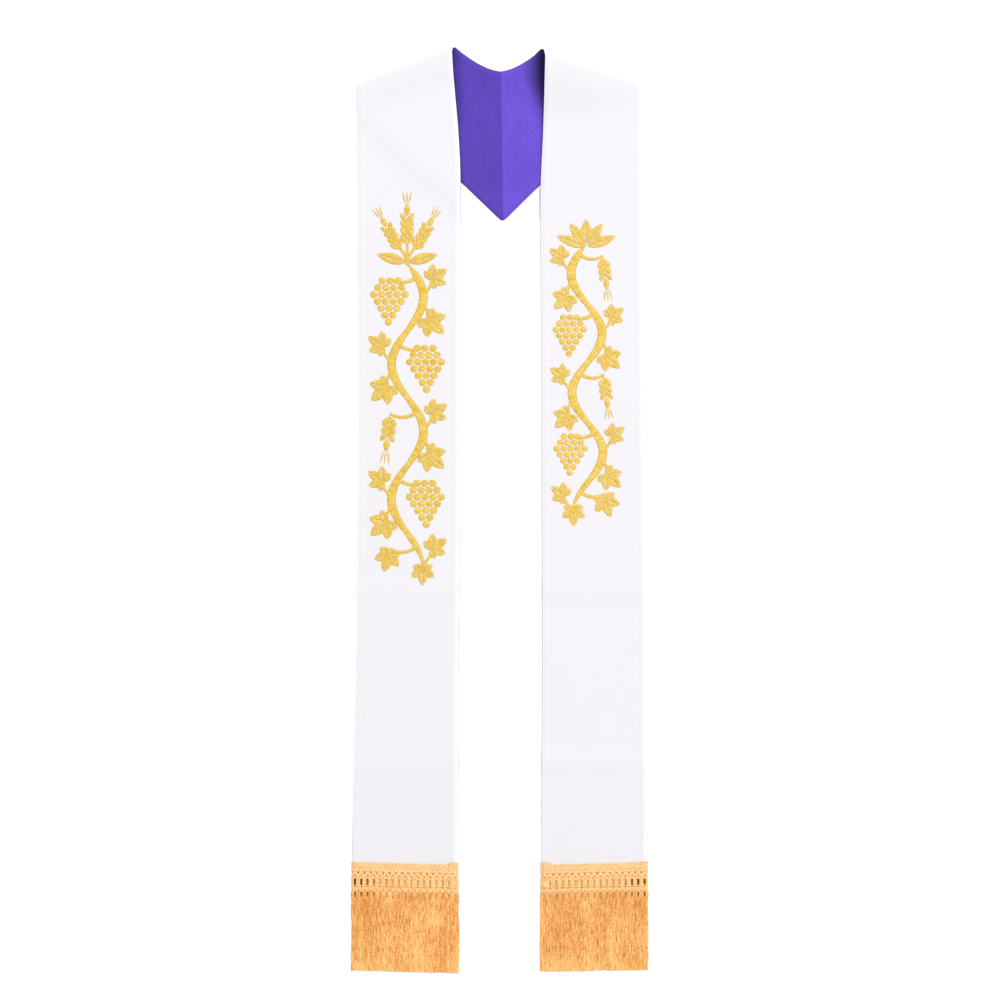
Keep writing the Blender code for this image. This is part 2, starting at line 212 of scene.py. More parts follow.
class Strip:
    """The middle surface of one half, in plan coordinates that run outwards from the middle line.

    across is 0 at the inner edge and 1 at the outer edge. A station is a pair, the stretch of the strip
    and how far along that stretch it lies.
    """

    def __init__(self, half):
        self.half = half
        neck = Vector(half.neck) * MM
        shoulder_height = half.shoulder_height * MM
        shoulder = Vector((edge_x(half, "outer", shoulder_height), shoulder_height))
        along = (shoulder - neck).normalized()
        self.outwards = Vector((-along.y, along.x))
        self.neck_radius = half.neck_roll * MM + MIDDLE
        self.shoulder_radius = half.shoulder_roll * MM + MIDDLE
        self.shoulder = shoulder - self.outwards * (self.shoulder_radius + MIDDLE)
        slide = along * half.slide * MM
        under_neck = neck - self.outwards * (self.neck_radius + MIDDLE)
        self.front_neck = under_neck + slide / 2
        self.back_neck = under_neck - slide / 2
        fold = (self.shoulder - self.front_neck).normalized()
        self.down = Vector((fold.y, -fold.x))
        seam_half = Vector((SEAM_JOIN / 2, 0))
        self.seam_top = Vector((half.sign * SEAM_TOP.x, SEAM_TOP.y)) + seam_half
        self.seam_point = Vector((half.sign * SEAM_POINT.x, SEAM_POINT.y)) + seam_half

    def radius(self, across):
        return self.neck_radius + (self.shoulder_radius - self.neck_radius) * across

    def front_edge(self, side, fold_end, share):
        """A front's edge from the hem up to where its fold starts."""
        height = HEM + (fold_end.y - HEM) * share
        inset = (fold_end.x - edge_x(self.half, side, fold_end.y)) * share
        return Vector((edge_x(self.half, side, height) + inset, height))

    def neck_curve(self, share):
        x = self.back_neck.x + (self.seam_top.x - self.back_neck.x) * share
        fall = (1 - share) ** NECK_CURVE_POWER
        return Vector((x, self.seam_top.y + (self.back_neck.y - self.seam_top.y) * fall))

    def outer_curve(self, share):
        """From the shoulder to the yoke's point, nearly straight but for the rounded point."""

        def rounded(x):
            return math.hypot(x - self.seam_point.x, POINT_ROUNDING) - POINT_ROUNDING

        slope = (self.shoulder.y - self.seam_point.y) / rounded(self.shoulder.x)
        x = self.shoulder.x + (self.seam_point.x - self.shoulder.x) * share
        bow = self.half.yoke_bow * MM * 4 * share * (1 - share)
        return Vector((x, self.seam_point.y + slope * rounded(x) + bow))

    def past_yoke(self, plan):
        """How far a plan point lies outside the yoke's outer edge, negative over the yoke."""
        edge = (self.seam_point - self.shoulder).normalized()
        offset = plan - self.shoulder
        return offset.y * edge.x - offset.x * edge.y

    def lift(self, across, plan):
        """How far a front's middle surface lies above where it would lie on the floor."""
        from_fold = max((plan - self.front_neck).dot(self.down), 0.0)
        rolled = 2 * self.radius(across)
        run = (self.half.neck_run + (self.half.shoulder_run - self.half.neck_run) * across) * MM
        over = LAYER_STEP + (rolled - LAYER_STEP) * (1 - smooth(from_fold / run))
        over *= 1 - smooth((self.past_yoke(plan) - STEP_START) / STEP_RUN)
        for crease in CREASES:
            off = abs(plan.y - crease.height * MM) / (crease.run * MM)
            over += crease.rise * MM * (1 - smooth(off))
        return over + self.ripple(plan, from_fold)

    def ripple(self, plan, from_fold):
        """The slight unevenness of cloth that lies loose, none at the hem or the fold."""
        cloth = bpy.context.scene.stole_cloth
        place = Vector((plan.x * RIPPLES_ACROSS, plan.y * RIPPLES_ALONG, self.half.sign * HALVES_APART))
        free = smooth((plan.y - BRAID_TOP) / RIPPLE_RUN_UP) * smooth(from_fold / RIPPLE_RUN_DOWN)
        return cloth.ripple * free * (0.5 + noise.noise(place))

    def width(self, station):
        return (self.point(0, station) - self.point(1, station)).length

    def point(self, across, station):
        stretch, share = station
        if stretch == "front":
            inner = self.front_edge("inner", self.front_neck, share)
            outer = self.front_edge("outer", self.shoulder, share)
            plan = inner.lerp(outer, across)
            rise = self.lift(across, plan)
        elif stretch == "fold":
            radius, turn = self.radius(across), math.pi * share
            neck = self.front_neck.lerp(self.back_neck, share)
            plan = neck.lerp(self.shoulder, across) + self.outwards * radius * math.sin(turn)
            rise = radius + radius * math.cos(turn)
        else:
            plan = self.neck_curve(share).lerp(self.outer_curve(share), across)
            rise = 0.0
        return Vector((self.half.sign * plan.x, TIPS_Y + plan.y, MIDDLE + rise))

    def stations(self):
        """From the hem to the centre back seam, close together where the strip bends."""
        length = self.front_neck.y - HEM
        downs = [0.0]
        for run in ROW_RUNS:
            while downs[-1] < run.to * MM and downs[-1] < length:
                downs.append(downs[-1] + run.step * MM)
        downs = [down for down in downs if down < length - 2 * MM] + [length]
        front = [("front", 1 - down / length) for down in reversed(downs)]
        fold = [("fold", i / FOLD_ROWS) for i in range(1, FOLD_ROWS + 1)]
        seam_length = (self.back_neck - self.seam_top).length
        near_seam = [("back", 1 - row * MM / seam_length) for row in reversed(SEAM_ROWS)]
        back = [("back", i / BACK_ROWS) for i in range(1, BACK_ROWS)]
        back = [station for station in back if station[1] < near_seam[0][1]]
        return front + fold + back + near_seam + [("back", 1.0)]

    def on_front(self, x, height, rise):
        """A point over the face of the front: x towards +X from its centre line, and rise above the cloth."""
        inner, outer = edge_x(self.half, "inner", height), edge_x(self.half, "outer", height)
        plan = Vector(((inner + outer) / 2 + self.half.sign * x, height))
        across = (plan.x - inner) / (outer - inner)
        face = MIDDLE + self.lift(across, plan) + MIDDLE
        return Vector((self.half.sign * plan.x, TIPS_Y + height, face + rise))


def colour_setting(name, description, default):
    return FloatVectorProperty(name=name, description=description, subtype="COLOR", default=default)


def length_setting(name, description, default):
    return FloatProperty(name=name, description=description, unit="LENGTH", default=default)


class ClothSettings(bpy.types.PropertyGroup):
    """The band's white face and purple lining."""

    white: colour_setting("White", "Colour of the face", (0.770, 0.755, 0.784))
    # The halves' linings are one cloth: the left's purple is painted darker and the right's lighter, painted
    # shade and sheen of the nap as the light falls on each half.
    purple_left: colour_setting(
        "Purple, Left", "Colour of the left half's lining, seen against its nap", (0.091, 0.046, 0.412)
    )
    purple_right: colour_setting(
        "Purple, Right", "Colour of the right half's lining, seen along its nap", (0.131, 0.071, 0.570)
    )
    ripple: length_setting("Ripple", "Unevenness of the cloth as it lies", 0.0005)
    edge_round: length_setting("Edge Rounding", "Width of the turned edge", 0.0055)
    allowance: length_setting("Seam Allowance", "Width of the turning inside the edges", 0.0085)
    allowance_rise: length_setting("Allowance Rise", "How far the turning stands proud of the cloth", 0.00022)
    thread_pitch: length_setting("Thread Pitch", "Distance between the weave's threads", 0.0007)


class EmbroiderySettings(bpy.types.PropertyGroup):
    """The gold vines and wheat in satin stitch."""

    gold: colour_setting("Gold", "Colour of the thread", (0.74, 0.49, 0.060))
    light: colour_setting("Light Gold", "Colour of the lightest thread", (0.90, 0.67, 0.235))
    dark: colour_setting("Dark Gold", "Colour of the darkest thread", (0.52, 0.31, 0.008))
    # The rim's colour is partly a darker outline and partly painted shade of the satin's rounded sides.
    outline_and_shade: colour_setting("Rim", "Colour where the stitches go into the cloth", (0.38, 0.21, 0.015))
    height: length_setting("Height", "How far a wide satin stitch stands up", 0.0011)
    row_pitch: length_setting("Row Pitch", "Distance between the mesh's rows of stitches", 0.0005)
    bundle: length_setting("Bundle", "Width of the ridges that the stitches gather into", 0.0020)


class BraidSettings(bpy.types.PropertyGroup):
    """The openwork braid over each hem."""

    light: colour_setting("Light Gold", "Colour of the cords", (0.97, 0.66, 0.33))
    dark: colour_setting("Dark Gold", "Colour of the cords' hollows", (0.82, 0.42, 0.14))
    # Backing and Depth are painted shade: the colours of the strips behind the cords, which stand for the
    # shade seen through the openwork, darkest in its deepest openings.
    shade_backing: colour_setting("ShadeBacking", "Colour behind the openwork", (0.42, 0.17, 0.045))
    depth: colour_setting("Depth", "Colour of the deepest openings", (0.17, 0.05, 0.003))
    cord: length_setting("Cord", "Width of the braid's cords", 0.0019)


class FringeSettings(bpy.types.PropertyGroup):
    """The fringe below each braid."""

    light: colour_setting("Light Gold", "Colour of the lightest threads", (0.97, 0.65, 0.258))
    middle: colour_setting("Gold", "Colour of most threads", (0.905, 0.468, 0.143))
    dark: colour_setting("Dark Gold", "Colour of the darkest threads", (0.71, 0.28, 0.057))
    per_bar: IntProperty(
        name="Threads", description="Threads below each bar of the braid", default=13, min=4, max=24
    )
    thread: length_setting("Thread", "Thickness of a thread", 0.0019)


class StageSettings(bpy.types.PropertyGroup):
    """Floor, light and camera."""

    floor: colour_setting("Floor", "Colour of the floor", (0.97, 0.97, 0.97))
    glow: FloatProperty(
        name="Glow", description="Light that the floor gives off beside the fronts, where their shadow falls",
        default=0.5,
    )
    sky: FloatProperty(name="Sky", description="Strength of the light from all round", default=0.835)
    key: FloatProperty(name="Key", description="Power of the soft key light", unit="POWER", default=482)
    millimetres_per_pixel: FloatProperty(
        name="Millimetres per Pixel", description="Scale of the picture at the floor", default=1.38
    )
    lens: FloatProperty(name="Lens", description="Focal length in millimetres", default=85)


class Shader:
    """A material's node tree, with short ways to add a node and join two."""

    def __init__(self, name, roughness, specular, sheen=0.0):
        self.material = bpy.data.materials.new(name)
        self.material.use_nodes = True
        self.tree = self.material.node_tree
        self.surface = self.tree.nodes["Principled BSDF"]
        self.fill(
            self.surface, {"Roughness": roughness, "Specular IOR Level": specular, "Sheen Weight": sheen}
        )

    def fill(self, node, inputs):
        """Sets a node's inputs to values, or joins them to other nodes' outputs."""
        for name, value in inputs.items():
            if isinstance(value, bpy.types.NodeSocket):
                self.tree.links.new(value, node.inputs[name])
            else:
                node.inputs[name].default_value = value

    def add(self, kind, inputs=None, **settings):
        node = self.tree.nodes.new(kind)
        for name, value in settings.items():
            setattr(node, name, value)
        self.fill(node, inputs or {})
        return node

    def parts(self, vector):
        return self.add("ShaderNodeSeparateXYZ", {"Vector": vector}).outputs

    def attribute(self, name):
        """A piece's own attribute, as a vector and as its three parts."""
        vector = self.add("ShaderNodeAttribute", attribute_name=name).outputs["Vector"]
        return vector, self.parts(vector)

    def noise(self, vector, scale, detail=2.0):
        """Soft noise, with one scale or one for each axis."""
        if isinstance(scale, tuple):
            vector = self.add("ShaderNodeMapping", {"Vector": vector, "Scale": scale}).outputs["Vector"]
            scale = 1.0
        inputs = {"Vector": vector, "Scale": scale, "Detail": detail, "Roughness": 0.55}
        return self.add("ShaderNodeTexNoise", inputs).outputs["Fac"]

    def wave(self, vector, pitch, direction="X"):
        """Bands that lie a pitch apart."""
        inputs = {"Vector": vector, "Scale": math.tau / (20 * pitch)}
        return self.add("ShaderNodeTexWave", inputs, bands_direction=direction).outputs["Fac"]

    def maths(self, operation, first, second):
        return self.add("ShaderNodeMath", {0: first, 1: second}, operation=operation).outputs[0]

    def scale_by(self, value, factor):
        return self.maths("MULTIPLY", value, factor)

    def total(self, first, *others):
        for other in others:
            first = self.maths("ADD", first, other)
        return first

    def spread(self, value, low, high, to_low=0.0, to_high=1.0):
        inputs = {"Value": value, "From Min": low, "From Max": high, "To Min": to_low, "To Max": to_high}
        return self.add("ShaderNodeMapRange", inputs).outputs["Result"]

    def cloud(self, value, to_low=0.0, to_high=1.0):
        """Stretches noise, which seldom leaves its middle range, over a range of tones."""
        return self.spread(value, 0.3, 0.7, to_low, to_high)

    def ramp(self, factor, *colours):
        """Runs evenly through the colours, from the first at 0 to the last at 1."""
        node = self.add("ShaderNodeValToRGB", {"Fac": factor})
        elements = node.color_ramp.elements
        last = len(colours) - 1
        for index in range(1, last):
            elements.new(index / last)
        for element, colour in zip(elements, colours):
            element.color = (*colour, 1)
        return node.outputs["Color"]

    def mix(self, factor, first, second):
        node = self.add("ShaderNodeMix", data_type="RGBA")
        sockets = {"Factor": factor, "A": first, "B": second}
        for socket in node.inputs:
            if socket.enabled and socket.name in sockets:
                value = sockets[socket.name]
                if isinstance(value, bpy.types.NodeSocket):
                    self.tree.links.new(value, socket)
                elif socket.type == "RGBA":
                    socket.default_value = (*value, 1)
                else:
                    socket.default_value = value
        return next(socket for socket in node.outputs if socket.enabled)

    def colour(self, socket):
        self.fill(self.surface, {"Base Color": socket})

    def bump(self, height, strength, distance):
        inputs = {"Height": height, "Strength": strength, "Distance": distance}
        self.fill(self.surface, {"Normal": self.add("ShaderNodeBump", inputs).outputs["Normal"]})


def tint(colour, factor):
    return tuple(min(channel * factor, 1.0) for channel in colour)


def cloth_material(name, colour, contrast, painted_edge_tone, edge_width, hem_tone=1.0):
    """Close plain weave, uneven in tone by the contrast, with other tones along its hem and seam allowance,
    a painted tone along its turned edges, and painted shade where its attribute sets it.
    """
    settings = bpy.context.scene.stole_cloth
    shader = Shader(name, roughness=0.8, specular=0.2, sheen=0.08)
    vector, parts = shader.attribute("cloth")
    along, inset = parts["Y"], parts["Z"]
    grain = shader.spread(shader.noise(vector, 720, detail=3), 0.34, 0.66)
    patches = shader.cloud(shader.noise(vector, 26))
    tone = shader.total(shader.scale_by(grain, 0.7), shader.scale_by(patches, 0.3))
    base = shader.ramp(tone, tint(colour, 1 - contrast), tint(colour, 1 + contrast))
    # Tones near the hem, over the seam allowance, and the turned edges' painted tone: a painted highlight
    # where it is lighter, painted shade where it is darker.
    for place, start, full_at, share, factor in (
        (along, HEM_TONE_REACH, 0.8, 1, hem_tone),
        (inset, settings.allowance, 0.8, 0.5, 1.03),
        (inset, edge_width, 0.2, 0.85, painted_edge_tone),
    ):
        toned = shader.spread(place, start, start * full_at, 0, share)
        base = shader.mix(toned, base, tint(colour, factor))
    # Painted shade: the piece's painted-shade attribute darkens the colour towards black.
    painted_shade = shader.add("ShaderNodeAttribute", attribute_name="painted_shade").outputs["Fac"]
    shader.colour(shader.mix(painted_shade, tint(colour, 0.05), base))
    warp, weft = (shader.wave(vector, settings.thread_pitch, direction) for direction in "XY")
    weave = shader.maths("MAXIMUM", warp, weft)
    shader.bump(shader.total(weave, grain), strength=0.3, distance=0.12 * MM)
    return shader.material


def thread_material(
    name, colours, roughness, streak, ply_light_shade, patch=(150, 38, 60), blotch=0.0, stroke=0.0, root_shade=0.0,
    specular=0.3,
):
    """Twisted glossy thread: each thread has its own tone, with patches over it, and painted light and shade:
    dark strokes between threads, light and dark flecks and twist bands of the plies, and a darker root.
    """
    shader = Shader(name, roughness, specular)
    vector, parts = shader.attribute("thread")
    place = shader.add("ShaderNodeTexCoord").outputs["Object"]
    fine = shader.noise(place, (620, 190, 500))
    tone = shader.total(
        parts["Y"],
        shader.cloud(shader.noise(place, patch), -streak, streak),
        shader.cloud(shader.noise(place, (30, 13, 1), detail=3.0), -blotch, blotch),
        # Painted shade: short dark strokes between the threads.
        shader.spread(shader.noise(place, (340, 85, 60)), 0.56, 0.68, 0, -stroke),
        # Painted shade near the root, where the threads lie dense and less lit.
        shader.spread(parts["Z"], 4 * MM, 35 * MM, -root_shade, 0),
        # Painted highlights and shade of the plies: fine flecks, and light and dark bands along the twist.
        shader.cloud(fine, -ply_light_shade, ply_light_shade),
        shader.spread(shader.wave(vector, TWIST), 0, 1, -ply_light_shade, ply_light_shade),
    )
    shader.colour(shader.ramp(tone, *colours))
    shader.bump(shader.total(shader.wave(vector, PLY_PITCH), fine), strength=0.35, distance=0.12 * MM)
    return shader.material


def embroidery_material(name, lighter):
    """Satin stitch: fine threads gathered in bundles and lanes, darker at the rims where they go into the
    cloth, partly a darker outline and partly painted shade of the arch's sides.
    """
    settings = bpy.context.scene.stole_embroidery
    shader = Shader(name, roughness=0.42, specular=0.3, sheen=0.05)
    vector, parts = shader.attribute("stitch")
    threads = shader.noise(vector, (1500, 200, 0))
    tone = shader.total(
        shader.cloud(shader.noise(vector, (430, 70, 0)), lighter - 0.08, lighter + 0.50),
        shader.scale_by(shader.noise(vector, (55, 760, 0)), 0.4),
        shader.cloud(threads, 0, 0.24),
    )
    base = shader.ramp(tone, settings.dark, settings.gold, settings.light)
    # Darker rims where the stitches go into the cloth: an outline, and painted shade of the arch's sides.
    outline_and_shade_mask = shader.spread(parts["Z"], 0.35, 0.85, 0, 0.75)
    shader.colour(shader.mix(outline_and_shade_mask, base, tuple(settings.outline_and_shade)))
    shader.bump(shader.total(shader.wave(vector, STITCH_PITCH), threads), strength=0.45, distance=0.15 * MM)
    return shader.material


def add_grid(bm, columns, rows):
    """Adds a grid to a mesh and gives each of its vertices with its column and row."""
    made = bmesh.ops.create_grid(bm, x_segments=columns, y_segments=rows, size=0.5)
    return [
        (vertex, round((vertex.co.x + 0.5) * columns), round((vertex.co.y + 0.5) * rows))
        for vertex in made["verts"]
    ]


def faces_of(grid):
    return {face for vertex, *_ in grid for face in vertex.link_faces}


def make_mesh(name, bm, materials):
    mesh = bpy.data.meshes.new(name)
    bm.to_mesh(mesh)
    bm.free()
    for material in materials:
        mesh.materials.append(material)
    return mesh


def add_object(name, data):
    added = bpy.data.objects.new(name, data)
    bpy.context.scene.collection.objects.link(added)
    return added


def finish_piece(name, bm, materials, node=None, crease_angle=50):
    """Makes a piece of a mesh, in the place of the solid that it stands for."""
    mesh = make_mesh(name, bm, materials)
    mesh.shade_smooth()
    mesh.set_sharp_from_angle(angle=math.radians(crease_angle))
    piece = add_object(name, mesh)
    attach(piece, BODY)
    if node:
        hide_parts(node)
    return piece


def across_at(column, width):
    """Where a column of the cloth's mesh lies across the band, close together near the edges."""
    if column > COLUMNS - column:
        return 1 - across_at(COLUMNS - column, width)
    if column < len(EDGE_COLUMNS):
        return EDGE_COLUMNS[column] * MM / width
    start = EDGE_COLUMNS[-1] * MM / width
    share = (column - len(EDGE_COLUMNS) + 1) / INNER_COLUMNS
    return start + (1 - 2 * start) * share


def layer_offset(inset, from_seam, pressed, faces_up):
    """How far a layer's outer side lies from the band's middle, this far in from an edge and from the seam.

    pressed is 1 where the edge is pressed down away from this side, and -1 where it is pressed towards it.
    """
    settings = bpy.context.scene.stole_cloth
    edge = EDGE_OFFSET - pressed * EDGE_PRESS
    turned = min(inset / settings.edge_round, 1)
    offset = edge + (MIDDLE - edge) * (1 - (1 - turned) ** EDGE_POWER)
    offset -= SEAM_DEPTH * (1 - smooth(from_seam / SEAM_RUN))
    inside = 1 - smooth((inset - settings.allowance) / ALLOWANCE_RUN)
    return offset + faces_up * settings.allowance_rise * smooth(inset / settings.edge_round) * inside


def painted_shade_tone(half, place):
    """How light the yoke is painted at a place: painted shade makes it less so beside the front's inner edge,
    most near the neck.
    """
    dark = PAINTED_SHADES[half.name]
    height = place.y - TIPS_Y
    near_neck = smooth((height / MM - dark.low) / (dark.high - dark.low))
    from_front = edge_x(half, "inner", min(height, EDGES[-1].height * MM)) - abs(place.x)
    width = PAINTED_SHADE_LOW_WIDTH + (dark.width - PAINTED_SHADE_LOW_WIDTH) * near_neck
    depth = PAINTED_SHADE_LOW_DEPTH + (dark.depth - PAINTED_SHADE_LOW_DEPTH) * near_neck
    return 1 - depth * (1 - smooth(from_front / (width * MM)))


def make_layer(strip, name, outward, material):
    """One layer of a half, the white face where outward is 1 and the lining where it is -1."""
    stations = strip.stations()
    widths = [strip.width(station) for station in stations]
    middles = [strip.point(0.5, station) for station in stations]
    alongs = [0.0]
    for here, there in zip(middles, middles[1:]):
        alongs.append(alongs[-1] + (there - here).length)
    bm = bmesh.new()
    cloth = bm.verts.layers.float_vector.new("cloth")
    painted_shade = bm.verts.layers.float.new("painted_shade")
    offsets = {}
    for vertex, column, row in add_grid(bm, COLUMNS, len(stations) - 1):
        station, width = stations[row], widths[row]
        across = across_at(column, width)
        inset = min(edge_distance(across, width), alongs[row])
        from_seam = alongs[-1] - alongs[row]
        turned_up = outward * {"front": 1, "fold": 1 - 2 * station[1], "back": -1}[station[0]]
        offsets[vertex] = layer_offset(inset, from_seam, turned_up, 1 if turned_up == 1 else 0)
        vertex.co = strip.point(across, station)
        vertex[cloth] = (
            across * width, alongs[row], min(edge_distance(across, width), from_seam + SEAM_TONE_AT)
        )
        # The lining's fold and yoke get painted shade beside the fronts; the face and the fronts get none.
        vertex[painted_shade] = 1.0 if outward > 0 or station[0] == "front" else painted_shade_tone(strip.half, vertex.co)
    if strip.half.sign < 0:
        bmesh.ops.reverse_faces(bm, faces=bm.faces)
    bm.normal_update()
    for vertex in bm.verts:
        vertex.co += vertex.normal * outward * offsets[vertex]
    if outward < 0:
        bmesh.ops.reverse_faces(bm, faces=bm.faces)
    piece = finish_piece(name, bm, [material], crease_angle=60)
    wall = piece.modifiers.new("Wall", "SOLIDIFY")
    wall.thickness = WALL
    wall.offset = -1
    return piece


class STOLE_OT_cloth(bpy.types.Operator):
    """Model the white face and the purple lining of both halves"""

    bl_idname = "stole.cloth"
    bl_label = "Cloth"

    def execute(self, context):
        settings = context.scene.stole_cloth
        # The white's turned edges are painted lighter, a painted highlight against the shade of their slope;
        # the purple's are painted darker, painted shade of the turned edge.
        white = cloth_material(
            "white_cloth", settings.white, contrast=0.015, painted_edge_tone=1.14, edge_width=4.6 * MM, hem_tone=0.985
        )
        # Each half's lining has its own purple, with its painted shade and sheen.
        purples = {
            half.name: cloth_material(
                f"purple_cloth_{half.name}", colour, contrast=0.3, painted_edge_tone=0.45, edge_width=1.4 * MM
            )
            for half, colour in zip(HALVES, (settings.purple_left, settings.purple_right))
        }
        for half in HALVES:
            strip = Strip(half)
            for layer, outward, material in (("face", 1, white), ("lining", -1, purples[half.name])):
                piece = make_layer(strip, f"{layer}_cloth_{half.name}", outward, material)
                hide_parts(f"{layer}_{half.name}")
        return {"FINISHED"}


# Satin stitch: the mesh's steps across it, how far its ends sink into the cloth, how much of its height its
# ridges add, the pitch of its threads, and how wide it is where it reaches its full height, in millimetres
STITCH_STEPS = 6
STITCH_SINK = 0.1 * MM
RIDGE_SHARE = 0.09
STITCH_PITCH = 0.9 * MM
FULL_WIDTH = 4.2


def heading(angle):
    """The direction at an angle from straight up, clockwise."""
    return Vector((math.sin(angle), math.cos(angle)))


class Needle:
    """Lays satin stitches on a front, in one mesh. Places are Strip.on_front's, in millimetres."""

    def __init__(self, strip):
        self.strip = strip
        self.settings = bpy.context.scene.stole_embroidery
        self.bm = bmesh.new()
        self.stitch = self.bm.verts.layers.float_vector.new("stitch")

    def patch(self, rails, row_pitch, full_width):
        """Stitches from rail to rail, arched over their padding and gathered into slight ridges."""
        grid = add_grid(self.bm, STITCH_STEPS, len(rails) - 1)
        start = random.uniform(0, 1)
        for vertex, column, row in grid:
            turn = math.pi * column / STITCH_STEPS
            left, right = rails[row]
            share, arch = (1 - math.cos(turn)) / 2, math.sin(turn)
            flat, width = left.lerp(right, share), (right - left).length
            fullness = min(width / full_width, 1) ** 0.75
            distance = start + row * row_pitch * MM
            ridge = RIDGE_SHARE * math.sin(math.tau * distance / self.settings.bundle) * arch * fullness
            rise = self.settings.height * (fullness * arch * (1 + ridge)) - STITCH_SINK
            vertex.co = self.strip.on_front(flat.x * MM, flat.y * MM, rise)
            vertex[self.stitch] = (distance, share * width * MM, 1 - arch)
        faces = sorted(faces_of(grid), key=lambda face: face.index)
        self.bm.normal_update()
        if sum(face.normal.z for face in faces) < 0:
            bmesh.ops.reverse_faces(self.bm, faces=faces)

    def stroke(self, path, half_width, length, slant=None, full_width=FULL_WIDTH):
        """Stitches along a path, straight across it, or slanting from a middle vein where slant is given."""
        pitch = self.settings.row_pitch / MM
        count = max(3, round(length / pitch))
        whole, left_side, right_side = [], [], []
        for i in range(count + 1):
            share = i / count
            point = path(share)
            run = path(min(share + 0.01, 1)) - path(max(share - 0.01, 0))
            normal = Vector((-run.y, run.x)).normalized()
            width = half_width(share)
            left, right = point + normal * width, point - normal * width
            whole.append((left, right))
            if slant is not None:
                vein = path(min(max(share - slant * width / length, 0), 1))
                gap = normal * min(0.25, width / 4)
                left_side.append((left, vein + gap))
                right_side.append((vein - gap, right))
        for rails in (whole,) if slant is None else (left_side, right_side):
            self.patch(rails, length / count, full_width)

    def lens(self, base, angle, length, width, slant=None, fullest=0.45):
        """A pointed oval from a base point, at an angle from straight up."""
        direction = heading(angle)
        power = math.log(0.5) / math.log(fullest)

        def half_width(share):
            return width / 2 * max(math.sin(math.pi * share**power), 0) ** 0.85

        self.stroke(lambda share: base + direction * length * share, half_width, length, slant)

    def disc(self, centre, radius, angle):
        """A round boss of stitches that run across a direction at an angle from straight up."""
        direction = heading(angle)

        def half_width(share):
            return radius * math.sqrt(max(1 - (2 * share - 1) ** 2, 0))

        def path(share):
            return centre + direction * radius * (2 * share - 1)

        self.stroke(path, half_width, 2 * radius, full_width=2.2 * radius)

    def arc(self, start, end, bow, width, taper):
        """A curved stalk from start to end, bowed to the left of its way, thinner towards the end."""
        run = end - start
        normal = Vector((-run.y, run.x)) * bow

        def path(share):
            return start + run * share + normal * 4 * share * (1 - share)

        def half_width(share):
            return width / 2 * (1 - (1 - taper) * share)

        self.stroke(path, half_width, run.length * (1 + 2.7 * bow * bow))

    def grapes(self, top, lean, rows, radius):
        """A hanging cluster: rows of grapes from the top down, each with its count."""
        step = radius * 1.78
        for number, count in enumerate(rows):
            for index in range(count):
                x = (index - (count - 1) / 2) * radius * 2.05 + lean * number * step
                self.disc(top + Vector((x, -number * step)), radius * 0.97, random.uniform(-0.6, 0.6))

    def vine_leaf(self, base, angle, size):
        """Five pointed lobes round the end of a stalk."""
        lobes = ((1.8, 0.62, 0.40), (-1.8, 0.62, 0.40), (0.9, 0.85, 0.46), (-0.9, 0.85, 0.46), (0, 1.0, 0.50))
        for turn, length, width in lobes:
            root = base - heading(angle + turn) * size * 0.04
            self.lens(root, angle + turn, size * length, size * width, slant=0.7, fullest=0.5)
        self.disc(base, size * 0.07, angle)

    def wheat_ear(self, base, angle, pairs, size):
        """Paired grains up a stalk, one at the tip, and thin beards."""
        up, across = heading(angle), heading(angle + math.pi / 2)
        step = size * 0.58
        self.lens(base - up * 3, angle, step * (pairs + 0.6), 3.4, fullest=0.4)
        for pair in range(pairs):
            here = base + up * step * pair
            for side in (-1, 1):
                self.lens(here, angle + side * 0.55, size, size * 0.42, fullest=0.6)
        tip = base + up * (step * (pairs - 1) + size * 0.62)
        self.lens(tip, angle, size * 1.05, size * 0.5)
        for side in (-1, 0, 1):
            start = tip + up * size * 0.9 + across * side * size * 0.14
            self.lens(start, angle + side * 0.2, size * 1.15, 2.2)

    def vine(self, vine):
        """The stem, swaying from side to side, thickest at its bends."""
        length = vine.top - vine.bottom

        def path(share):
            height = vine.top - length * share
            turn = math.tau * (vine.top - height) / vine.wave
            return Vector((vine.centre + vine.side * vine.sway * math.sin(turn), height))

        def half_width(share):
            bend = abs(math.sin(math.tau * length * share / vine.wave))
            start, end = smooth(share / 0.05), smooth((1 - share) / 0.1)
            return (3.9 + 2.3 * bend) * (0.35 + 0.65 * start) * (0.3 + 0.7 * end)

        self.stroke(path, half_width, length * 1.14, full_width=7.0)


# The embroidered vines, in millimetres. The stem starts at top and ends at bottom; side is where it first
# bends to. A fruit hangs inside each of its bends.
Vine = namedtuple("Vine", "centre top bottom side sway wave fruits")
VINES = {
    "left": Vine(
        -2, 978, 560, side=1, sway=22, wave=186, fruits=("grapes", "grapes", "wheat", "grapes", "bud")
    ),
    "right": Vine(
        -8, 1004, 642, side=-1, sway=21, wave=164, fruits=("wheat", "grapes", "wheat", "grapes", "bud")
    ),
}
CLUSTER = (3, 4, 5, 4, 3, 2, 1)


